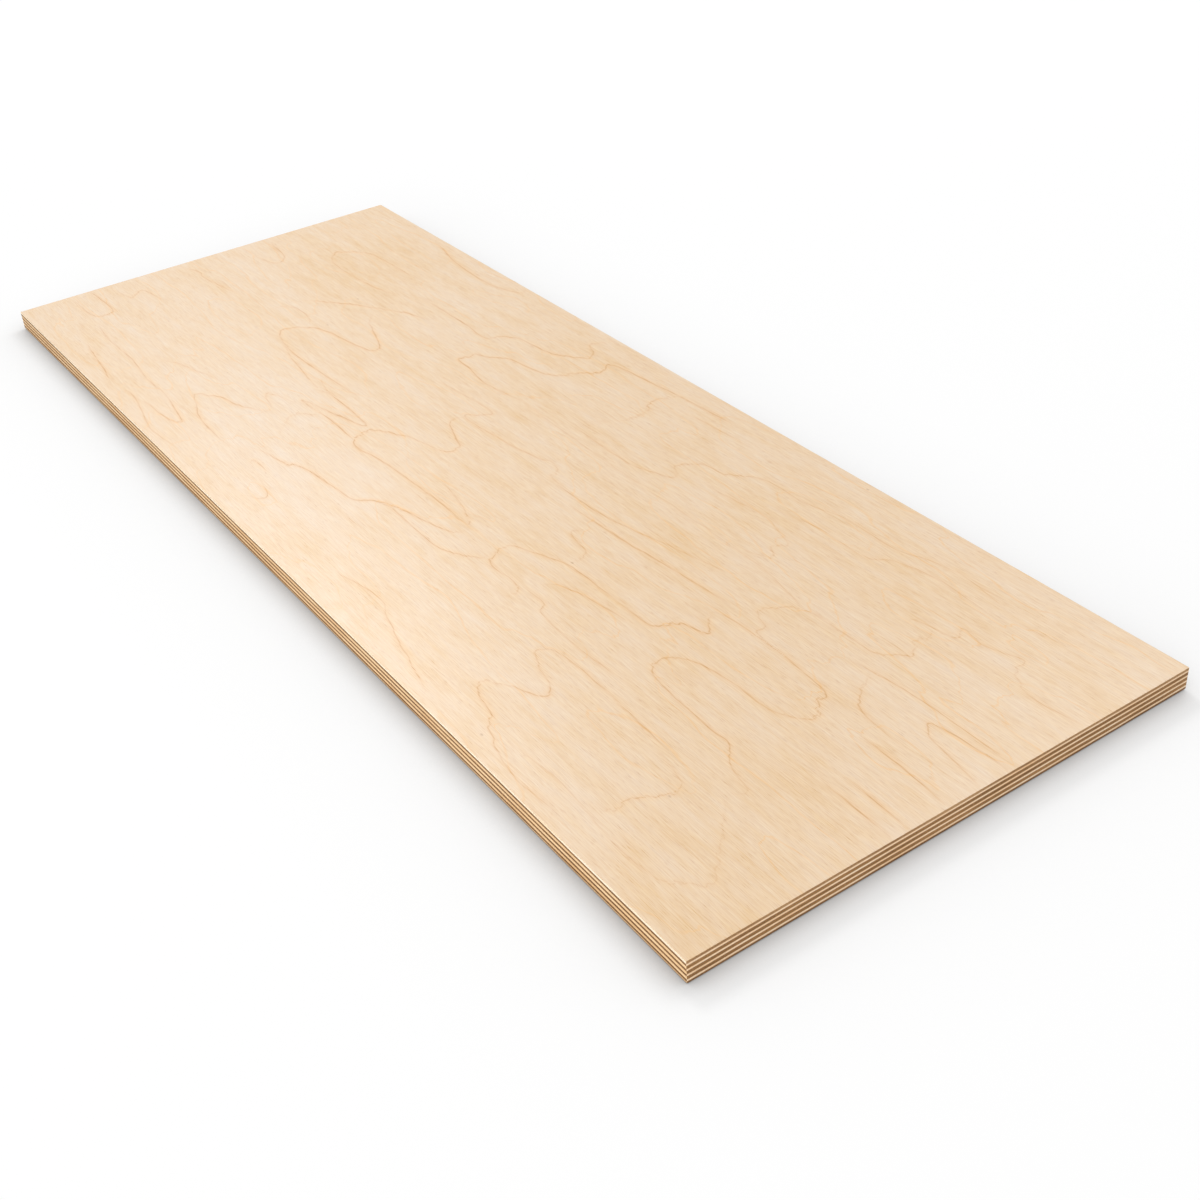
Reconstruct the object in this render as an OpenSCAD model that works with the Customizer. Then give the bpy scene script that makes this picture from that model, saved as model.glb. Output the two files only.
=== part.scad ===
// Nine-ply plywood sheet, lying flat.
// X runs along the face grain, Y across it and Z up from the underside.
// The origin is the centre of the underside.

/* [Sheet] */
// Length, along the face grain
sheet_length = 1200; // [300:5:2440]
// Width, across the face grain
sheet_width = 450; // [150:5:1220]

/* [Plies] */
// Number of core plies, each between two crossbands
core_ply_count = 3; // [1:1:5]
// Thickness of the face veneer and of the back veneer
veneer_thickness = 2; // [1.2:0.1:3]
// Thickness of a core ply, with its grain along the sheet
core_ply_thickness = 2.6; // [1.2:0.1:3.6]
// Thickness of a crossband, with its grain across the sheet
crossband_thickness = 1.8; // [1.2:0.1:3.6]

/* [Sawn edges] */
// Radius of the four upright corners
corner_radius = 0.9; // [0.8:0.1:6]
// Radius of the sanded arris round the top and the underside
arris_radius = 0.5; // [0.2:0.05:0.7]

/* [Hidden] */
crossband_count = core_ply_count + 1;
// Height of one crossband with the core ply on it
ply_pair_height = crossband_thickness + core_ply_thickness;
sheet_thickness = 2 * veneer_thickness + core_ply_count * ply_pair_height + crossband_thickness;

// Distances from the sheet's middle to the axes of its upright corners
corner_x = sheet_length / 2 - corner_radius;
corner_y = sheet_width / 2 - corner_radius;

veneer_colour = "#EFDFC8";
core_ply_colour = "#DCC09A";
crossband_colour = "#A67C54";
$fn = 48;

crossband_names = [for (i = [1:crossband_count]) str("crossband_", i)];
core_ply_names = [for (i = [1:core_ply_count]) str("core_ply_", i)];

// Plan of the sawn sheet, which every inner ply fills
module sheet_plan() {
    square([2 * corner_x, sheet_width], center = true);
    square([sheet_length, 2 * corner_y], center = true);
    for (x = [-corner_x, corner_x], y = [-corner_y, corner_y])
        translate([x, y])
            circle(r = corner_radius);
}

// Upright section of an outer veneer, from an axis out to the sanded arris
module veneer_half_section(reach) {
    square([reach, veneer_thickness - arris_radius]);
    square([reach - arris_radius, veneer_thickness]);
    translate([reach - arris_radius, veneer_thickness - arris_radius])
        intersection() {
            circle(r = arris_radius);
            square(arris_radius);
        }
}

module veneer_section(reach) {
    veneer_half_section(reach);
    mirror([1, 0])
        veneer_half_section(reach);
}

// Outer veneer with its glued face down: the section runs both ways and turns the corners
module outer_veneer() {
    rotate([90, 0, 90])
        linear_extrude(height = 2 * corner_x, center = true)
            veneer_section(sheet_width / 2);
    rotate([90, 0, 0])
        linear_extrude(height = 2 * corner_y, center = true)
            veneer_section(sheet_length / 2);
    for (x = [-corner_x, corner_x], y = [-corner_y, corner_y])
        translate([x, y, 0])
            rotate_extrude()
                veneer_half_section(corner_radius);
}

module inner_ply(base_height, thickness) {
    translate([0, 0, base_height])
        linear_extrude(height = thickness)
            sheet_plan();
}

module back_veneer() {
    color(veneer_colour)
        translate([0, 0, veneer_thickness])
            mirror([0, 0, 1])
                outer_veneer();
}

// Crossbands and core plies are numbered from the underside up
module crossband(number) {
    color(crossband_colour)
        inner_ply(veneer_thickness + (number - 1) * ply_pair_height, crossband_thickness);
}

module core_ply(number) {
    color(core_ply_colour)
        inner_ply(veneer_thickness + number * ply_pair_height - core_ply_thickness, core_ply_thickness);
}

module face_veneer() {
    color(veneer_colour)
        translate([0, 0, sheet_thickness - veneer_thickness])
            outer_veneer();
}

back_veneer();
for (i = [1:crossband_count])
    crossband(i);
for (i = [1:core_ply_count])
    core_ply(i);
face_veneer();
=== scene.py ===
import math

import bmesh
import bpy
from mathutils import Matrix, Vector, geometry, kdtree, noise


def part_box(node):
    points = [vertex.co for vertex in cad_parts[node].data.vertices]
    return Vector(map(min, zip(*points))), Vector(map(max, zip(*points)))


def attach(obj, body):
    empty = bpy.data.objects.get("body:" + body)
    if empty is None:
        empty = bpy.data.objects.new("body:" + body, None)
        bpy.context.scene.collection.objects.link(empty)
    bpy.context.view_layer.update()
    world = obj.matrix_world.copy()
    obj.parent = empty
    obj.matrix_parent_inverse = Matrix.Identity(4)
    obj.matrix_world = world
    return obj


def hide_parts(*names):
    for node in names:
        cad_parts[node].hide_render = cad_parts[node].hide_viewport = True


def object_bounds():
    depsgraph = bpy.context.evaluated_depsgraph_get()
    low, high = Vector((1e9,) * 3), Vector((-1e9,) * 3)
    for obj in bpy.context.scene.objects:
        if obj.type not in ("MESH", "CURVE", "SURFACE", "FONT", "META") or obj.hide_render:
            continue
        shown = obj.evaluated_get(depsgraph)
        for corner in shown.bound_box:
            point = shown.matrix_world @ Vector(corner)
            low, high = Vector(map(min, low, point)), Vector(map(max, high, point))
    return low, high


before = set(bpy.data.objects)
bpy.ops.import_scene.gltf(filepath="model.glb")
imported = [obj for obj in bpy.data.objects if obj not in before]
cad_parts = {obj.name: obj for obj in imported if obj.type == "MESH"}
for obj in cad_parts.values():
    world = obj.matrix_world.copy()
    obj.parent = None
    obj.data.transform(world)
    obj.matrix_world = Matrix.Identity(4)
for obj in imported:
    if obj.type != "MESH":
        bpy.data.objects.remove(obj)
cadBox = [list(corner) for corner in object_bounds()]
print("frame loaded, box", cadBox)

mm = 0.001  # the scene is in metres
sheetLow, sheetHigh = (Vector(corner) for corner in cadBox)
sheetLength, sheetWidth = (sheetHigh - sheetLow).xy
boxes = {node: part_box(node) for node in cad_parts}


def linear(hexText):
    # sRGB hex to the linear colour that shaders take
    levels = [int(hexText[i:i + 2], 16) / 255 for i in (1, 3, 5)]
    return [v / 12.92 if v <= 0.04045 else ((v + 0.055) / 1.055) ** 2.4 for v in levels] + [1.0]


def addNode(tree, kind, inputs=None, out=0, stops=(), **settings):
    # inputs are values or sockets to link, settings the node's own properties, stops a ramp's colours
    node = tree.nodes.new(kind)
    for name, value in settings.items():
        setattr(node, name, value)
    for stop in stops[2:]:
        node.color_ramp.elements.new(stop[0])
    for i, (place, hexText) in enumerate(stops):
        node.color_ramp.elements[i].position = place
        node.color_ramp.elements[i].color = linear(hexText)
    for key, value in (inputs or {}).items():
        if isinstance(value, bpy.types.NodeSocket):
            tree.links.new(value, node.inputs[key])
        else:
            node.inputs[key].default_value = value
    return node.outputs[out] if node.outputs else node


def newMaterial(name):
    material = bpy.data.materials.new(name)
    material.use_nodes = True
    material.node_tree.nodes.clear()
    return material, material.node_tree


def perMm(x, y, z):
    # Mapping scale that makes one step of a pattern this many millimetres long on each axis
    return (1 / (x * mm), 1 / (y * mm), 1 / (z * mm))


# Maple veneer, peeled from a turning log, glued and drum sanded: pale cream, with thin tan ring lines
# that wander in long loops, cloudy tone, fine fibres along the sheet and a dull satin sheen.
mapleFace = {
    "light": "#EED8C0", "mid": "#EDCFAA", "deep": "#E6BD81",
    # Length and width in mm, detail, share in the tone, share in the light and dark. Real fibres are about
    # 0.03 mm wide, too fine to show, so fibre, thread and hair are drawn as coarse as they need to show.
    "patterns": {
        "cloud": (260, 58, 3.0, 0.42, 0.0),
        "mottle": (70, 20, 3.0, 0.62, 0.0),
        "blotch": (26, 8.0, 2.0, 0.44, 0.0),
        "streak": (140, 4.5, 3.0, 0.44, 0.0),
        "fibre": (20, 1.0, 2.0, 0.30, -0.05),
        "thread": (22, 0.6, 1.0, 0.0, 0.27),
        "hair": (9, 0.42, 1.0, 0.0, 2.6),
        "showing": (60, 22, 2.0, 0.0, 0.0),
        "hairline": (60, 0.8, 1.0, 0.0, 0.0),
    },
    "patternRoughness": 0.55,
    "sparse": ("hair",),  # dark only here and there
    # patches of deeper or paler wood: place, length and width in mm, and how much deeper; two of the paler
    # ones are painted sheen
    "patchesAndSheen": (
        ((-433, 120), (190, 120), 0.2),
        ((561, -192), (120, 55), 0.15),
        # painted sheen: the next two pale the left middle, where the sheen softbox's highlight falls
        ((-46, -135), (210, 85), -0.10),
        ((-210, -120), (330, 130), -0.08),
        ((556, 43), (130, 90), -0.09),
        ((537, 162), (120, 60), -0.06),
    ),
    "fineTint": (0.72, 0.9, 0.82),  # the finest fibres go lighter and darker without turning redder
    # faint ring lines, in mm
    "loopLength": 300, "loopWidth": 92, "loopDetail": 1.5, "ringsPerLoop": 8.5, "slopeStep": 0.5,
    "wanderLength": 85, "wanderWidth": 21, "wanderDetail": 3.0, "wanderReach": (92, 14),
    "lineCore": 0.3, "lineEdge": 1.3, "faintShare": 0.55,
    # strong ring lines: colour and share of the glow and of the core
    "glowColour": "#F0C48A", "glowShare": 0.66,
    "ringColour": "#C98F4E", "ringShare": 0.66,
    # levels of a pattern between which a line comes and goes, and how much of it then shows
    "comeAndGo": ((0.34, 0.62), (0.45, 1.0)), "broken": ((0.36, 0.6), (0.5, 1.2)),
    "hairlineColour": "#D8A468", "hairlineShare": 0.42,
    "hairlineLevels": (0.60, 0.72), "bunchLevels": (0.46, 0.62),
    "fleckColour": "#B98A58", "fleckLength": 34, "fleckWidth": 17,  # mm from one fleck's cell to the next
    "fleckShare": 0.12, "fleckReach": (0.03, 0.07), "fleckDepth": 0.5,
    "depthStep": 6,  # mm of height after which the figure is another one, so the back has its own
    "roughness": (0.33, 0.39), "roughnessLevels": (0.3, 0.7), "ior": 1.5, "specular": 0.5,
    "bumpHeight": 0.03, "bumpStrength": 0.4,
}


def makeMapleFace(name, look):
    material, tree = newMaterial(name)
    place = addNode(tree, "ShaderNodeTexCoord", out="Object")

    # cloudy tone, streaks and fibres, added up round the middle of one ramp, and a fine light and dark on top
    grain = {}
    tone = 0.5
    shade = 0.0
    for pattern, (length, width, detail, toneShare, shadeShare) in look["patterns"].items():
        scaled = addNode(tree, "ShaderNodeMapping",
                         {"Vector": place, "Scale": perMm(length, width, look["depthStep"])})
        grain[pattern] = addNode(tree, "ShaderNodeTexNoise", {
            "Vector": scaled, "Scale": 1.0, "Detail": detail,
            "Roughness": look["patternRoughness"]}, out="Fac")
        centred = addNode(tree, "ShaderNodeMath", {0: grain[pattern], 1: 0.5}, operation="SUBTRACT")
        if pattern in look["sparse"]:
            low = addNode(tree, "ShaderNodeMath", {0: centred, 1: 0.0}, operation="MINIMUM")
            size = addNode(tree, "ShaderNodeMath", {0: centred}, operation="ABSOLUTE")
            centred = addNode(tree, "ShaderNodeMath", {0: low, 1: size}, operation="MULTIPLY")
        if toneShare:
            tone = addNode(tree, "ShaderNodeMath", {0: centred, 1: toneShare, 2: tone},
                           operation="MULTIPLY_ADD")
        if shadeShare:
            shade = addNode(tree, "ShaderNodeMath", {0: centred, 1: shadeShare, 2: shade},
                            operation="MULTIPLY_ADD")
    for (x, y), (length, width), deeper in look["patchesAndSheen"]:
        scale = perMm(length, width, look["depthStep"])
        centre = (x * mm, y * mm, sheetHigh.z)
        away = addNode(tree, "ShaderNodeMapping", {"Vector": place, "Scale": scale, "Location": [
            -part * times for part, times in zip(centre, scale)]})
        away = addNode(tree, "ShaderNodeVectorMath", {0: away}, out="Value", operation="LENGTH")
        patch = addNode(tree, "ShaderNodeMapRange", {"Value": away, "To Min": deeper, "To Max": 0.0},
                        interpolation_type="SMOOTHSTEP")
        tone = addNode(tree, "ShaderNodeMath", {0: tone, 1: patch}, operation="ADD")
    colour = addNode(tree, "ShaderNodeValToRGB", {"Fac": tone}, stops=(
        (0.0, look["light"]), (0.5, look["mid"]), (1.0, look["deep"])))

    # faint ring lines: level lines of a slow field, pushed to and fro along the fibres so that they zigzag
    scaled = addNode(tree, "ShaderNodeMapping", {"Vector": place, "Scale": perMm(
        look["wanderLength"], look["wanderWidth"], look["depthStep"])})
    push = addNode(tree, "ShaderNodeTexNoise", {
        "Vector": scaled, "Scale": 1.0, "Detail": look["wanderDetail"]}, out="Color")
    push = addNode(tree, "ShaderNodeVectorMath", {0: push, 1: (0.5, 0.5, 0.5)}, operation="SUBTRACT")
    wander = [part * mm for part in look["wanderReach"]] + [0]
    pushed = addNode(tree, "ShaderNodeVectorMath", {0: push, 1: wander, 2: place}, operation="MULTIPLY_ADD")
    step = look["slopeStep"] * mm
    heights = []
    for offset in ((0, 0, 0), (step, 0, 0), (0, step, 0)):
        moved = addNode(tree, "ShaderNodeVectorMath", {0: pushed, 1: offset}, operation="ADD")
        scaled = addNode(tree, "ShaderNodeMapping", {"Vector": moved, "Scale": perMm(
            look["loopLength"], look["loopWidth"], look["depthStep"])})
        heights.append(addNode(tree, "ShaderNodeTexNoise", {
            "Vector": scaled, "Scale": 1.0, "Detail": look["loopDetail"]}, out="Fac"))
    rises = [addNode(tree, "ShaderNodeMath", {0: height, 1: heights[0]}, operation="SUBTRACT")
             for height in heights[1:]]
    rise = addNode(tree, "ShaderNodeCombineXYZ", {0: rises[0], 1: rises[1]})
    rise = addNode(tree, "ShaderNodeVectorMath", {0: rise}, out="Value", operation="LENGTH")
    ringsPerMm = addNode(tree, "ShaderNodeMath", {0: rise, 1: look["ringsPerLoop"] * mm / step},
                         operation="MULTIPLY")
    rings = addNode(tree, "ShaderNodeMath", {0: heights[0], 1: look["ringsPerLoop"]}, operation="MULTIPLY")
    toLine = addNode(tree, "ShaderNodeMath", {0: rings, 1: 0.5}, operation="PINGPONG")
    toLine = addNode(tree, "ShaderNodeMath", {0: toLine, 1: ringsPerMm}, operation="DIVIDE")
    faintLine = addNode(tree, "ShaderNodeMapRange", {"Value": toLine, "From Min": look["lineCore"],
                        "From Max": look["lineEdge"], "To Min": look["faintShare"], "To Max": 0.0},
                        interpolation_type="SMOOTHSTEP")

    # strong ring lines are drawn on the mesh, a thin core in a soft glow; all lines come and go on their way
    levels, shares = look["comeAndGo"]
    showing = addNode(tree, "ShaderNodeMapRange", {"Value": grain["showing"], "From Min": levels[0],
                      "From Max": levels[1], "To Min": shares[0], "To Max": shares[1]})
    glow = addNode(tree, "ShaderNodeAttribute", out="Fac", attribute_name="ringGlow")
    glow = addNode(tree, "ShaderNodeMath", {0: glow, 1: look["glowShare"], 2: faintLine},
                   operation="MULTIPLY_ADD")
    core = addNode(tree, "ShaderNodeAttribute", out="Fac", attribute_name="ringLine")
    levels, shares = look["broken"]
    broken = addNode(tree, "ShaderNodeMapRange", {"Value": grain["fibre"], "From Min": levels[0],
                     "From Max": levels[1], "To Min": shares[0] * look["ringShare"],
                     "To Max": shares[1] * look["ringShare"]})
    core = addNode(tree, "ShaderNodeMath", {0: core, 1: broken}, operation="MULTIPLY")
    # hairlines along the fibres, in bunches
    bunch = addNode(tree, "ShaderNodeMapRange", {"Value": grain["mottle"], "From Min": look["bunchLevels"][0],
                    "From Max": look["bunchLevels"][1]})
    hairline = addNode(tree, "ShaderNodeMapRange", {"Value": grain["hairline"],
                       "From Min": look["hairlineLevels"][0], "From Max": look["hairlineLevels"][1],
                       "To Min": 0.0, "To Max": look["hairlineShare"]})
    hairline = addNode(tree, "ShaderNodeMath", {0: hairline, 1: bunch}, operation="MULTIPLY")
    for line, lineColour in ((glow, look["glowColour"]), (core, look["ringColour"]),
                             (hairline, look["hairlineColour"])):
        line = addNode(tree, "ShaderNodeMath", {0: line, 1: showing}, operation="MULTIPLY", use_clamp=True)
        colour = addNode(tree, "ShaderNodeMix", {"Factor": line, "A": colour, "B": linear(lineColour)},
                         out="Result", data_type="RGBA")

    # pin flecks, short dashes along the grain in a few of the cells
    scaled = addNode(tree, "ShaderNodeMapping", {"Vector": place, "Scale": perMm(
        look["fleckLength"], look["fleckWidth"], look["depthStep"])})
    toFleck = addNode(tree, "ShaderNodeTexVoronoi", {"Vector": scaled, "Scale": 1.0}, out="Distance")
    chance = addNode(tree, "ShaderNodeSeparateColor", {"Color": toFleck.node.outputs["Color"]})
    chosen = addNode(tree, "ShaderNodeMath", {0: chance, 1: look["fleckShare"]}, operation="LESS_THAN")
    fleck = addNode(tree, "ShaderNodeMapRange", {"Value": toFleck, "From Min": look["fleckReach"][0],
                    "From Max": look["fleckReach"][1], "To Min": look["fleckDepth"], "To Max": 0.0})
    fleck = addNode(tree, "ShaderNodeMath", {0: fleck, 1: chosen}, operation="MULTIPLY")
    colour = addNode(tree, "ShaderNodeMix", {"Factor": fleck, "A": colour, "B": linear(look["fleckColour"])},
                     out="Result", data_type="RGBA")

    # the fine light and dark goes over all of it, and the fibres give the sheen and the relief
    colour = addNode(tree, "ShaderNodeVectorMath", {0: shade, 1: look["fineTint"], 2: colour},
                     operation="MULTIPLY_ADD")
    roughness = addNode(tree, "ShaderNodeMapRange", {"Value": grain["fibre"],
                        "From Min": look["roughnessLevels"][0], "From Max": look["roughnessLevels"][1],
                        "To Min": look["roughness"][0], "To Max": look["roughness"][1]})
    bump = addNode(tree, "ShaderNodeBump", {
        "Strength": look["bumpStrength"], "Distance": look["bumpHeight"] * mm, "Height": grain["fibre"]})
    shader = addNode(tree, "ShaderNodeBsdfPrincipled", {
        "Base Color": colour, "Roughness": roughness, "IOR": look["ior"],
        "Specular IOR Level": look["specular"], "Normal": bump})
    addNode(tree, "ShaderNodeOutputMaterial", {"Surface": shader})
    return material


# Sawn edges of the plies. Cut along the grain the wood stays pale with long streaks; cut across it, the
# open pores swallow the light and it turns brown and speckled. Resin glue leaves a thin dark line. Pores
# are under 0.1 mm wide, too fine to show, so the speckle is drawn as coarse as it needs to show.
birchEdge = {
    "longGrain": ("#F5D7AC", "#EDC797", "#DBAF7A"),
    "endGrain": ("#B58654", "#9A7043", "#7F5932"),
    "glueAndFootShade": "#5B3D25", "glueAndFootShadeShare": 0.8,
    "fineGrain": {"longGrain": (38, 0.5), "endGrain": (1.6, 0.5)},  # length and height in mm
    "tone": (46, 3.5),
    "grainDetail": 3.0, "toneLevels": (0.36, 0.5, 0.64),
    "roughness": {"longGrain": 0.58, "endGrain": 0.72}, "roughnessSpread": 0.12, "ior": 1.5, "specular": 0.35,
    "bumpHeight": 0.05, "bumpStrength": 0.4,
}
crossbandEdge = birchEdge | {  # pale sapwood, dark where cut across
    "longGrain": ("#FFE7C7", "#FFDCB5", "#F4C794"),
    "endGrain": ("#94683A", "#7A542C", "#633E1D"),
}
mapleEdgeAndHighlight = birchEdge | {  # sanded veneer, paler again; its near-white long grain is partly painted highlight along the top arris
    "longGrain": ("#FCF1DC", "#FCE9CD", "#F5DBB5"),
    "endGrain": ("#C49A6C", "#AE8459", "#946B43"),
}


def makeSawnEdge(name, look, cut, along):
    # along is the axis that the edge runs in, 0 for X and 1 for Y
    material, tree = newMaterial(name)
    place = addNode(tree, "ShaderNodeTexCoord", out="Object")
    grain = []
    for length, height in (look["tone"], look["fineGrain"][cut]):
        size = [height, height, height]
        size[along] = length
        scaled = addNode(tree, "ShaderNodeMapping", {"Vector": place, "Scale": perMm(*size)})
        grain.append(addNode(tree, "ShaderNodeTexNoise", {
            "Vector": scaled, "Scale": 1.0, "Detail": look["grainDetail"]}, out="Fac"))
    tone = addNode(tree, "ShaderNodeMath", {0: grain[0], 1: grain[1]}, operation="ADD")
    tone = addNode(tree, "ShaderNodeMath", {0: tone, 1: 0.5}, operation="MULTIPLY")
    stops = tuple(zip(look["toneLevels"], look[cut]))
    colour = addNode(tree, "ShaderNodeValToRGB", {"Fac": tone}, stops=stops)
    # dark glue lines, and painted shade: the same dark lies on the lower arris as a contact shadow at the
    # foot
    glueAndFootShade = addNode(tree, "ShaderNodeAttribute", out="Fac", attribute_name="glueLineAndFootShade")
    glueAndFootShade = addNode(tree, "ShaderNodeMath", {0: glueAndFootShade, 1: look["glueAndFootShadeShare"]}, operation="MULTIPLY")
    colour = addNode(tree, "ShaderNodeMix", {"Factor": glueAndFootShade, "A": colour, "B": linear(look["glueAndFootShade"])},
                     out="Result", data_type="RGBA")
    roughness = addNode(tree, "ShaderNodeMath", {
        0: grain[1], 1: look["roughnessSpread"], 2: look["roughness"][cut]}, operation="MULTIPLY_ADD")
    bump = addNode(tree, "ShaderNodeBump", {
        "Strength": look["bumpStrength"], "Distance": look["bumpHeight"] * mm, "Height": grain[1]})
    shader = addNode(tree, "ShaderNodeBsdfPrincipled", {
        "Base Color": colour, "Roughness": roughness, "IOR": look["ior"],
        "Specular IOR Level": look["specular"], "Normal": bump})
    addNode(tree, "ShaderNodeOutputMaterial", {"Surface": shader})
    return material


maple = makeMapleFace("sandedMapleVeneer", mapleFace)
edgeMaterials = {}
for cut in ("longGrain", "endGrain"):
    for along in (0, 1):
        for wood, look in (("maple", mapleEdgeAndHighlight), ("birch", birchEdge), ("crossband", crossbandEdge)):
            name = wood + cut[0].upper() + cut[1:] + "XY"[along]
            edgeMaterials[(wood, cut, along)] = makeSawnEdge(name, look, cut, along)
print("materials made")


# Plies, each modelled as a slab with rounded corners and a fine row of points round its sawn edge
plyShape = {
    "cornerRadius": 0.9 * mm, "cornerSegments": 4,
    "arrisRadius": 0.5 * mm, "arrisSegments": 4,
    # the edge rounds off at each glue line, a film of 0.1 mm that is drawn twice as wide so that it shows
    "glueRim": 0.22 * mm, "glueSegments": 2, "glueProfile": 0.85,
    "holdingLoop": 0.3 * mm,  # less than the arris leaves of the corner radius, or it would cross itself
    "longEdge": 100 * mm, "firstCuts": 100, "secondCuts": 1,
    "footShade": 1.0,  # painted shade: the lower arris of the sheet is darkened like a glue line, as a contact shadow at its foot
    "unevenness": 0.09 * mm, "unevenSize": 7 * mm, "unevenDepth": 2,  # saw marks, cut into the edge
    "glueWave": 0.36 * mm, "waveSize": 70 * mm, "waveDepth": 1,  # how far glue lines rise and fall
    "near": 0.01 * mm, "level": 0.999,  # what counts as the same height, and as a level face
    "glueReach": 1.2, "edgeReach": 1.05,  # how far in points still belong to a glue line or an edge
    "faceTilt": 0.75, "smoothAngle": 30,  # flatter than this is sanded face, sharper than this is an edge
}


def startEdit(piece):
    bpy.ops.object.select_all(action="DESELECT")
    piece.select_set(True)
    bpy.context.view_layer.objects.active = piece
    bpy.ops.object.mode_set(mode="EDIT")


def pickEdges(piece, wanted):
    bpy.ops.mesh.select_mode(type="EDGE")
    bpy.ops.mesh.select_all(action="DESELECT")
    mesh = bmesh.from_edit_mesh(piece.data)
    for edge in mesh.edges:
        edge.select_set(wanted(*(vertex.co for vertex in edge.verts)))
    bmesh.update_edit_mesh(piece.data)


def pickFaces(piece, wanted):
    bpy.ops.mesh.select_mode(type="FACE")
    bpy.ops.mesh.select_all(action="DESELECT")
    mesh = bmesh.from_edit_mesh(piece.data)
    for face in mesh.faces:
        face.select_set(wanted(face))
    bmesh.update_edit_mesh(piece.data)


def modelPly(name, low, high, sandedAt=None):
    # sandedAt is the height of the sanded face of an outer ply
    bpy.ops.object.select_all(action="DESELECT")
    bpy.ops.mesh.primitive_cube_add(size=1, location=(low + high) / 2, scale=high - low)
    piece = bpy.context.object
    piece.name = piece.data.name = name
    bpy.ops.object.transform_apply(location=True, rotation=False, scale=True)
    startEdit(piece)
    near = plyShape["near"]
    pickEdges(piece, lambda a, b: abs(a.z - b.z) > near)
    bpy.ops.mesh.bevel(offset=plyShape["cornerRadius"], segments=plyShape["cornerSegments"], affect="EDGES")
    for height in (low.z, high.z):
        sanded = height == sandedAt
        pickEdges(piece, lambda a, b: abs(a.z - height) < near and abs(b.z - height) < near)
        bpy.ops.mesh.bevel(offset=plyShape["arrisRadius"] if sanded else plyShape["glueRim"],
                           segments=plyShape["arrisSegments"] if sanded else plyShape["glueSegments"],
                           profile=0.5 if sanded else plyShape["glueProfile"], affect="EDGES")
    pickFaces(piece, lambda face: abs(face.normal.z) > plyShape["level"])
    bpy.ops.mesh.inset(thickness=plyShape["holdingLoop"], depth=0)
    # points along the sawn edges: all four sides are cut at once, then the pieces of the two long sides again
    pickEdges(piece, lambda a, b: (a - b).length > plyShape["longEdge"])
    bpy.ops.mesh.subdivide(number_cuts=plyShape["firstCuts"])
    endPiece = sheetWidth / (plyShape["firstCuts"] + 1)
    pickEdges(piece, lambda a, b: abs(a.x - b.x) > 1.5 * endPiece)
    bpy.ops.mesh.subdivide(number_cuts=plyShape["secondCuts"])
    bpy.ops.object.mode_set(mode="OBJECT")
    return piece
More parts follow.
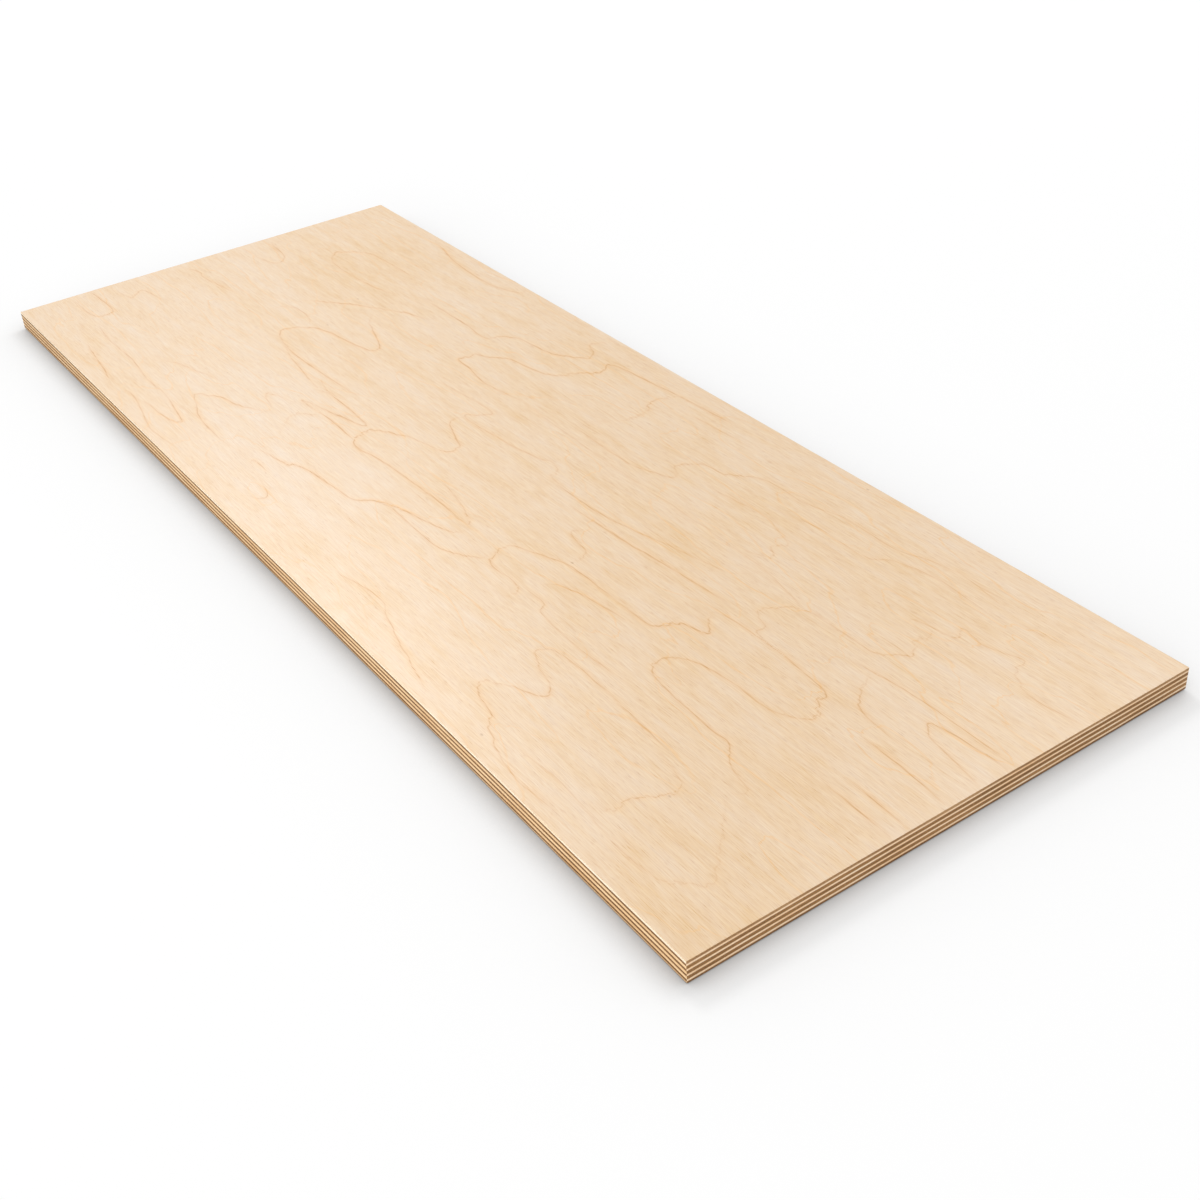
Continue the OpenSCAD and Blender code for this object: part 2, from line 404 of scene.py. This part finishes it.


# Growth rings, where the knife met bulges in the log. Each is a strength and points along the line in mm,
# given one by one; the curve through them is then shaken to and fro along the fibres.
ringLook = {
    "pieceLength": 2.0, "endFade": 25.0, "endShare": 0.2,  # mm, and what is left of a line at its ends
    "shake": 4.5, "shakeSize": 3.5, "shakeLength": 120, "shakeSeed": 3.0,  # mm, along the fibres
    "sway": 0.6, "swaySize": 14.0, "swaySeed": 7.0,  # mm, across them
    # mm from the line, how much of its core shows there, and of its glow on the left and on the right
    "rows": ((0.0, 1.0, 1.0, 1.0), (0.85, 0.1, 0.75, 0.65), (2.4, 0.0, 0.42, 0.3), (5.5, 0.0, 0.0, 0.0)),
    "closest": 0.8, "merge": 0.001, "margin": 3,  # mm between points, when they are one, and to the rim
}
growthRings = (
    (0.88, ((330, 4), (340, 11), (400, 13), (450, 9), (464, 4), (463, -2), (473, -12), (476, -20),
            (462, -30), (445, -36), (400, -37), (368, -44), (354, -56), (357, -70), (375, -77), (437, -81),
            (460, -81), (480, -95), (507, -102), (499, -113))),
    (0.35, ((499, -113), (510, -125), (530, -142), (550, -163), (560, -174), (546, -187), (535, -197),
            (490, -200), (420, -194), (360, -199))),
    (1.0, ((330, 4), (346, -9), (349, -14), (326, -22), (320, -36), (308, -41), (247, -41), (205, -42),
           (175, -52), (150, -63), (152, -78), (164, -90), (197, -89), (211, -96), (206, -108))),
    (0.6, ((410, 12), (372, 16), (372, 24), (356, 31), (352, 40), (372, 62), (420, 65), (446, 66),
           (462, 80), (466, 86), (454, 99), (459, 107), (455, 116), (470, 125))),
    (0.55, ((372, 63), (345, 68), (310, 74), (240, 76), (130, 76), (30, 78), (-60, 81))),
    (1.1, ((-60, 81), (-112, 74), (-150, 79), (-173, 81), (-172, 92), (-174, 98), (-150, 112), (-140, 120),
           (-95, 127), (-78, 136), (-70, 153), (-54, 172), (-60, 189), (0, 196), (47, 200), (110, 203))),
    (0.55, ((180, 118), (250, 125), (275, 118), (296, 112), (290, 101), (300, 89), (280, 81), (262, 76))),
    (0.65, ((30, 90), (106, 90), (130, 97), (146, 102), (148, 111), (135, 119), (150, 138), (176, 143),
            (204, 162), (256, 164), (296, 173), (352, 172), (386, 182), (420, 186), (470, 178))),
    (0.55, ((255, 140), (300, 147), (347, 146), (368, 160), (407, 168), (462, 165))),
    (0.88, ((440, -118), (360, -113), (305, -113), (285, -121), (300, -134), (326, -140), (335, -151),
            (305, -166), (292, -177), (302, -187), (325, -191), (345, -203), (390, -215), (440, -213))),
    (0.88, ((216, -72), (224, -64), (250, -57), (300, -50))),
    (0.62, ((205, -87), (237, -87), (248, -96), (300, -99), (356, -96))),
    (1.0, ((600, 46), (550, 44), (532, 39), (545, 29), (600, 19))),
    (0.72, ((440, 47), (506, 53), (600, 52))),
    (0.72, ((462, 47), (474, 28), (484, 17), (500, 11), (548, 7))),
    (1.0, ((510, -6), (557, -7), (600, -11))),
    (1.0, ((535, -42), (600, -45))),
    (1.0, ((530, -57), (600, -59))),
    (0.55, ((433, 104), (436, 117), (470, 124), (466, 137), (490, 133), (520, 142), (524, 132), (550, 115),
            (600, 118))),
    (0.55, ((494, 212), (484, 190))),
    (0.55, ((528, 196), (534, 184), (515, 176), (480, 172))),
    (0.75, ((440, -124), (472, -131), (475, -146), (463, -167), (466, -182), (452, -192))),
    (0.95, ((90, -195), (115, -188), (153, -184), (182, -194), (225, -204), (275, -215))),
    (1.0, ((-330, 127), (-240, 128), (-200, 126), (-186, 142), (-170, 152), (-127, 157), (-103, 168),
           (-88, 180), (-96, 191), (-112, 198), (-105, 215))),
    (0.7, ((47, 200), (32, 194), (25, 172), (38, 158), (39, 135), (30, 124))),
    (0.55, ((70, 174), (73, 184), (150, 189))),
    (0.75, ((-145, 42), (-74, 48), (-52, 45), (-67, 24), (-20, 25), (37, 32), (57, 39), (76, 33), (83, 24),
            (126, 21), (177, 25), (224, 35), (300, 50))),
    (1.05, ((-66, 22), (-68, 9), (-40, -3), (-21, -10), (-24, -26), (-63, -35), (-97, -52), (-103, -64),
            (-94, -80), (-77, -82), (-45, -77), (40, -73), (98, -73), (74, -62), (20, -53))),
    (0.9, ((130, 10), (200, 13), (257, 18), (330, 24))),
    (0.65, ((172, 5), (167, -6), (169, -14), (197, -20), (204, -29), (201, -40))),
    (1.15, ((-230, -45), (-200, -52), (-150, -53), (-112, -57), (-153, -68), (-200, -80), (-150, -77),
            (-98, -78))),
    (0.8, ((-160, -79), (-180, -100), (-166, -116))),
    (1.2, ((-130, -152), (-100, -147), (-82, -138), (-30, -132), (-3, -129), (13, -115), (40, -104),
           (93, -92), (108, -82))),
    (0.96, ((13, -115), (37, -110), (113, -110), (147, -93), (152, -84))),
    (1.0, ((-90, -177), (-66, -181), (-55, -188), (-72, -199))),
    (1.15, ((-385, 146), (-435, 146), (-477, 141), (-500, 122), (-503, 113), (-476, 98), (-400, 100),
            (-363, 107))),
    (1.1, ((-280, 102), (-303, 96), (-336, 78), (-366, 61), (-396, 39), (-413, 22))),
    (1.2, ((-310, 53), (-276, 43), (-250, 32), (-257, 21), (-305, 13), (-336, 6), (-355, -12), (-358, -25),
           (-345, -33), (-300, -40), (-233, -38), (-173, -34))),
    (1.0, ((-440, 214), (-386, 203), (-310, 200), (-270, 210), (-263, 222))),
    (1.25, ((-205, -118), (-233, -132), (-257, -137), (-283, -154), (-266, -162), (-230, -172),
            (-175, -174))),
    (1.2, ((-306, -178), (-273, -182), (-241, -188), (-252, -196), (-310, -200))),
    (0.9, ((-200, -87), (-234, -97), (-230, -104), (-205, -109))),
    (1.0, ((-375, -148), (-350, -138), (-300, -125))),
    (1.1, ((-470, -197), (-400, -205), (-360, -212))),
    (1.0, ((-600, -146), (-545, -143), (-526, -148), (-532, -166), (-585, -168))),
    (0.9, ((-501, -171), (-462, -175), (-399, -174), (-350, -179), (-306, -178))),
    (0.8, ((-327, -213), (-337, -204), (-305, -206), (-279, -211), (-242, -217), (-191, -212))),
    (0.8, ((-114, -173), (-125, -167), (-102, -166), (-84, -172))),
    (0.9, ((-345, -33), (-286, -47), (-214, -56), (-194, -52), (-172, -48))),
    (0.9, ((-416, -8), (-405, 9), (-374, 12), (-350, 4))),
    (0.9, ((-590, -38), (-563, -29), (-540, -31), (-480, -22))),
    (0.9, ((-571, -121), (-551, -114), (-561, -98), (-520, -92))),
    (0.9, ((-560, 40), (-530, 46), (-524, 56), (-545, 66), (-590, 70))),
)


def ringCurves(side):
    # smooth curves through the points, as lists of (place, strength); side -1 turns the back's end for end
    curves = []
    for strength, points in growthRings:
        points = [Vector((side * x, y)) for x, y in points]
        points = [2 * points[0] - points[1]] + points + [2 * points[-1] - points[-2]]
        curve = []
        for before, start, end, after in zip(points, points[1:], points[2:], points[3:]):
            pieces = max(1, round((end - start).length / ringLook["pieceLength"]))
            for i in range(pieces):
                t = i / pieces
                curve.append(0.5 * (2 * start + (end - before) * t
                                    + (2 * before - 5 * start + 4 * end - after) * t ** 2
                                    + (3 * start - before - 3 * end + after) * t ** 3))
        for i, spot in enumerate(curve):
            shakeAt = (spot.x / ringLook["shakeLength"], spot.y / ringLook["shakeSize"],
                       ringLook["shakeSeed"] + side)
            swayAt = (spot.x / ringLook["swaySize"], 0, ringLook["swaySeed"])
            spot += Vector((ringLook["shake"] * noise.noise(shakeAt), ringLook["sway"] * noise.noise(swayAt)))
            toEnd = min(i, len(curve) - 1 - i) * ringLook["pieceLength"] / ringLook["endFade"]
            curve[i] = (spot, strength * min(1.0, ringLook["endShare"] + (1 - ringLook["endShare"]) * toEnd))
        curves.append(curve)
    return curves


def drawRings(piece, side):
    # points are set in rows beside each ring line, so that the sanded face can carry its strength
    startEdit(piece)
    mesh = bmesh.from_edit_mesh(piece.data)
    mesh.verts.layers.float.new("ringLine")
    glowLayer = mesh.verts.layers.float.new("ringGlow")
    coreLayer = mesh.verts.layers.float["ringLine"]  # looked up last, because a new layer moves the others
    level = [face for face in mesh.faces if face.normal.z * side > plyShape["level"]]
    face = max(level, key=lambda face: face.calc_area())
    outline = list(face.verts)[::side]
    height = outline[0].co.z
    curves = ringCurves(side)
    middle = kdtree.KDTree(sum(len(curve) for curve in curves))
    places = [vertex.co.xy / mm for vertex in outline]
    margin = Vector((sheetLength / 2 / mm - ringLook["margin"], sheetWidth / 2 / mm - ringLook["margin"]))
    taken = set()
    lines = []
    for curve in curves:
        for i, (spot, strength) in enumerate(curve):
            middle.insert(spot.to_3d(), len(lines))
            run = curve[min(i + 1, len(curve) - 1)][0] - curve[max(i - 1, 0)][0]
            across = Vector((-run.y, run.x)).normalized()
            lines.append((spot, strength, across))
            for row in ringLook["rows"]:
                for turn in ((1, -1) if row[0] else (1,)):
                    at = spot + across * row[0] * turn
                    cell = (round(at.x / ringLook["closest"]), round(at.y / ringLook["closest"]))
                    if cell in taken or abs(at.x) > margin.x or abs(at.y) > margin.y:
                        continue
                    taken.add(cell)
                    places.append(at)
    middle.balance()
    loop = [(i, (i + 1) % len(outline)) for i in range(len(outline))]
    net = geometry.delaunay_2d_cdt(places, loop, [], 1, ringLook["merge"], True)
    spots, triangles, sources = net[0], net[2], net[3]
    mesh.faces.remove(face)
    vertices = []
    for spot, source in zip(spots, sources):
        known = [i for i in source if i < len(outline)]
        vertex = outline[known[0]] if known else mesh.verts.new((spot.x * mm, spot.y * mm, height))
        index, away = middle.find(spot.to_3d())[1:]
        start, strength, across = lines[index]
        hand = 2 if (spot - start).dot(across) * side > 0 else 3
        for inner, outer in zip(ringLook["rows"], ringLook["rows"][1:]):
            if inner[0] <= away < outer[0]:
                part = (away - inner[0]) / (outer[0] - inner[0])
                vertex[coreLayer] = strength * (inner[1] + (outer[1] - inner[1]) * part)
                vertex[glowLayer] = strength * (inner[hand] + (outer[hand] - inner[hand]) * part)
        vertices.append(vertex)
    for corners in triangles:
        mesh.faces.new([vertices[i] for i in corners][::side])
    bmesh.update_edit_mesh(piece.data)
    bpy.ops.object.mode_set(mode="OBJECT")
    print("rings drawn on", piece.name, len(vertices), "points")


def markRegion(piece, name, wanted):
    group = piece.vertex_groups.new(name=name)
    group.add([vertex.index for vertex in piece.data.vertices if wanted(vertex.co)], 1.0, "REPLACE")


def displace(piece, group, axis, strength, texture, midLevel):
    bpy.ops.object.modifier_add(type="DISPLACE")
    modifier = piece.modifiers[-1]
    modifier.vertex_group = group
    modifier.direction = axis
    modifier.strength = strength
    modifier.texture = texture
    modifier.texture_coords = "LOCAL"
    modifier.mid_level = midLevel
    bpy.ops.object.modifier_apply(modifier=modifier.name)


def makeClouds(name, size, depth):
    texture = bpy.data.textures.new(name, "CLOUDS")
    texture.noise_scale = size
    texture.noise_depth = depth
    return texture


sawMarks = makeClouds("sawMarks", plyShape["unevenSize"], plyShape["unevenDepth"])
glueWaves = makeClouds("glueWaves", plyShape["waveSize"], plyShape["waveDepth"])


def finishPly(piece, node, slot, wood, grain):
    # wood names the look of its edge; grain is the axis that the fibres run in, 0 for X and 1 for Y
    low, high = boxes[node]
    bpy.ops.object.select_all(action="DESELECT")
    piece.select_set(True)
    bpy.context.view_layer.objects.active = piece
    rim = plyShape["glueReach"] * plyShape["glueRim"]
    glued = [z for z in (low.z, high.z) if sheetLow.z + rim < z < sheetHigh.z - rim]
    edge = plyShape["edgeReach"] * plyShape["arrisRadius"]
    markRegion(piece, "front", lambda p: p.y < low.y + edge)
    markRegion(piece, "back", lambda p: p.y > high.y - edge)
    markRegion(piece, "left", lambda p: p.x < low.x + edge)
    markRegion(piece, "right", lambda p: p.x > high.x - edge)
    markRegion(piece, "glued", lambda p: min(abs(p.z - z) for z in glued) < rim)
    glueLineAndFootShade = piece.data.attributes.new("glueLineAndFootShade", "FLOAT", "POINT")
    for vertex, value in zip(piece.data.vertices, glueLineAndFootShade.data):
        value.value = max(0.0, 1 - min(abs(vertex.co.z - z) for z in glued) / plyShape["glueRim"])
        # painted shade: points at the foot of the sheet take the glue's dark, as a contact shadow
        if vertex.co.z < sheetLow.z + edge:
            value.value = plyShape["footShade"]
    depth = plyShape["unevenness"]
    for group, axis, inwards in (("front", "Y", 1), ("back", "Y", -1), ("left", "X", 1), ("right", "X", -1)):
        displace(piece, group, axis, inwards * depth, sawMarks, 0.0)
    displace(piece, "glued", "Z", plyShape["glueWave"], glueWaves, 0.5)
    piece.vertex_groups.clear()

    cuts = ["longGrain" if along == grain else "endGrain" for along in (0, 1)]
    for material in (maple, edgeMaterials[(wood, cuts[0], 0)], edgeMaterials[(wood, cuts[1], 1)]):
        piece.data.materials.append(material)
    for face in piece.data.polygons:
        x, y, z = (abs(part) for part in face.normal)
        face.material_index = 0 if z > plyShape["faceTilt"] else 1 if y >= x else 2
    bpy.ops.object.shade_smooth_by_angle(angle=math.radians(plyShape["smoothAngle"]))
    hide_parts(node)
    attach(piece, "root")
    print("ply", piece.name, len(piece.data.polygons), "faces")


def copyPly(source, name, rise):
    bpy.ops.object.select_all(action="DESELECT")
    source.select_set(True)
    bpy.context.view_layer.objects.active = source
    bpy.ops.object.duplicate(linked=False)
    piece = bpy.context.object
    piece.name = piece.data.name = name
    bpy.ops.transform.translate(value=(0, 0, rise))
    bpy.ops.object.transform_apply(location=True, rotation=False, scale=False)
    return piece


# inner plies: one of each kind is modelled, and copied up through the stack before any is finished
innerPlies = []
for kind, stem, wood, grain in (("core_ply", "corePly", "birch", 0),
                                ("crossband", "crossband", "crossband", 1)):
    nodes = sorted(node for node in boxes if node.startswith(kind))
    first = modelPly(stem + "1", *boxes[nodes[0]])
    innerPlies.append((first, nodes[0], kind, wood, grain))
    for number, node in enumerate(nodes[1:], 2):
        rise = boxes[node][0].z - boxes[nodes[0]][0].z
        innerPlies.append((copyPly(first, stem + str(number), rise), node, kind, wood, grain))
for ply in innerPlies:
    finishPly(*ply)

faceVeneer = modelPly("faceVeneer", *boxes["face_veneer"], sandedAt=boxes["face_veneer"][1].z)
drawRings(faceVeneer, 1)
finishPly(faceVeneer, "face_veneer", "outer_veneer", "maple", 0)
backVeneer = modelPly("backVeneer", *boxes["back_veneer"], sandedAt=boxes["back_veneer"][0].z)
drawRings(backVeneer, -1)
finishPly(backVeneer, "back_veneer", "outer_veneer", "birch", 0)  # its edge is as brown as the core's


# Pale studio floor of matt white paper, uncoated, so that it has no gloss: white to the camera, and faded out
# into the white room. To the camera it is mostly a glow that darkens with ambient occlusion, a painted soft
# shadow, over the shadow that the lamps cast
floorLook = {
    "size": 8.0, "fade": (1.6, 3.6),  # m
    "gap": 1.1,  # mm under the sheet, for a thin dark line at its foot
    "colour": "#F2F2F2", "cameraGain": 1.20,
    "paintedShadowShare": 0.7, "softReach": 0.14,  # how much of the floor the camera sees as painted shadow from ambient occlusion, and its reach in m
}


def makeFloor(look):
    bpy.ops.object.select_all(action="DESELECT")
    bpy.ops.mesh.primitive_plane_add(size=look["size"], location=(0, 0, sheetLow.z - look["gap"] * mm))
    floor = bpy.context.object
    floor.name = "studioFloor"
    material, tree = newMaterial("mattWhitePaper")
    seenByCamera = addNode(tree, "ShaderNodeLightPath", out="Is Camera Ray")
    paper = linear(look["colour"])
    brighter = [value * look["cameraGain"] for value in paper[:3]] + [1.0]
    colour = addNode(tree, "ShaderNodeMix", {"Factor": seenByCamera, "A": paper, "B": brighter},
                     out="Result", data_type="RGBA")
    paperShader = addNode(tree, "ShaderNodeBsdfDiffuse", {"Color": colour})
    openness = addNode(tree, "ShaderNodeAmbientOcclusion", {"Distance": look["softReach"]}, out="AO")
    paintedSoftShadow = addNode(tree, "ShaderNodeEmission", {"Strength": openness})
    paintedShadowShare = addNode(tree, "ShaderNodeMath", {0: seenByCamera, 1: look["paintedShadowShare"]}, operation="MULTIPLY")
    paperShader = addNode(tree, "ShaderNodeMixShader", {"Fac": paintedShadowShare, 1: paperShader, 2: paintedSoftShadow})
    place = addNode(tree, "ShaderNodeTexCoord", out="Object")
    away = addNode(tree, "ShaderNodeVectorMath", {0: place}, out="Value", operation="LENGTH")
    faded = addNode(tree, "ShaderNodeMapRange", {"Value": away, "From Min": look["fade"][0],
                    "From Max": look["fade"][1]}, interpolation_type="SMOOTHSTEP")
    room = addNode(tree, "ShaderNodeBsdfTransparent")
    shader = addNode(tree, "ShaderNodeMixShader", {"Fac": faded, 1: paperShader, 2: room})
    addNode(tree, "ShaderNodeOutputMaterial", {"Surface": shader})
    floor.data.materials.append(material)


makeFloor(floorLook)


# Studio light: an even white room, softboxes behind that throw the shadow forwards and give the sheen, one
# overhead near the front end, a low fill for the two edges in front and a strip along the long one. light is
# what each gives a level surface, 1 being full light; angles are in degrees, distances and sizes in metres.
roomLight = {"light": 0.35}
softboxes = {
    "backSoftbox": {"azimuth": 110, "elevation": 51, "distance": 11.0, "size": (5.0, 4.0), "light": 0.25},
    "sheenSoftbox": {"azimuth": 166, "elevation": 43, "distance": 11.0, "size": (3.0, 2.4), "light": 0.243},
    "frontFill": {"azimuth": -52, "elevation": 7, "distance": 4.5, "size": (2.0, 1.0), "light": 0.050},
    "edgeStrip": {"azimuth": -96, "elevation": 5, "distance": 1.45, "size": (1.0, 0.2), "light": 0.016},
}
topSoftbox = {"place": (0.77, -0.09, 1.8), "size": (1.4, 1.4), "light": 0.08}


def makeRoom(look):
    world = bpy.data.worlds.new("whiteRoom")
    bpy.context.scene.world = world
    world.use_nodes = True
    tree = world.node_tree
    tree.nodes.clear()
    seen = addNode(tree, "ShaderNodeLightPath", out="Is Camera Ray")
    rays = seen.node.outputs
    for ray in ("Is Glossy Ray", "Is Transmission Ray"):
        seen = addNode(tree, "ShaderNodeMath", {0: seen, 1: rays[ray]}, operation="MAXIMUM")
    strength = addNode(tree, "ShaderNodeMapRange", {"Value": seen, "To Min": look["light"], "To Max": 1.0})
    background = addNode(tree, "ShaderNodeBackground", {"Color": linear("#FFFFFF"), "Strength": strength})
    addNode(tree, "ShaderNodeOutputWorld", {"Surface": background})


def makeSoftbox(name, look):
    azimuth, elevation = math.radians(look["azimuth"]), math.radians(look["elevation"])
    towards = Vector((math.cos(azimuth) * math.cos(elevation), math.sin(azimuth) * math.cos(elevation),
                      math.sin(elevation)))
    bpy.ops.object.select_all(action="DESELECT")
    bpy.ops.object.light_add(type="AREA", location=towards * look["distance"])
    lamp = bpy.context.object
    lamp.name = lamp.data.name = name
    lamp.rotation_euler = (-towards).to_track_quat("-Z", "Y").to_euler()
    lamp.data.shape = "RECTANGLE"
    lamp.data.size, lamp.data.size_y = look["size"]
    lamp.data.energy = look["light"] * math.pi ** 2 * look["distance"] ** 2 / towards.z


def makeTopSoftbox(look):
    bpy.ops.object.select_all(action="DESELECT")
    bpy.ops.object.light_add(type="AREA", location=look["place"])
    lamp = bpy.context.object
    lamp.name = lamp.data.name = "topSoftbox"
    lamp.data.shape = "RECTANGLE"
    lamp.data.size, lamp.data.size_y = look["size"]
    lamp.data.energy = look["light"] * math.pi ** 2 * look["place"][2] ** 2


makeRoom(roomLight)
for name, look in softboxes.items():
    makeSoftbox(name, look)
makeTopSoftbox(topSoftbox)
print("floor and light made")


# Camera, found from the four corners of the sheet in the photograph
cameraView = {
    "aim": (261.5, -50.6, 19.0), "distance": 1278.6, "lens": 49.25,  # mm
    "azimuth": 57.47, "elevation": 34.80, "roll": -4.18,  # degrees
    "clip": (0.01, 100),  # m
}


def makeCamera(look):
    azimuth, elevation = math.radians(look["azimuth"]), math.radians(look["elevation"])
    back = Vector((math.sin(azimuth) * math.cos(elevation), -math.cos(azimuth) * math.cos(elevation),
                   math.sin(elevation)))
    aim = Vector(look["aim"]) * mm
    bpy.ops.object.select_all(action="DESELECT")
    bpy.ops.object.camera_add(location=aim + back * look["distance"] * mm)
    camera = bpy.context.object
    camera.name = camera.data.name = "photoCamera"
    turn = (-back).to_track_quat("-Z", "Y").to_matrix() @ Matrix.Rotation(math.radians(look["roll"]), 3, "Z")
    camera.rotation_euler = turn.to_euler()
    camera.data.lens = look["lens"]
    camera.data.clip_start, camera.data.clip_end = look["clip"]
    bpy.context.scene.camera = camera


makeCamera(cameraView)
bpy.context.scene.view_settings.view_transform = "Standard"
print("camera made")
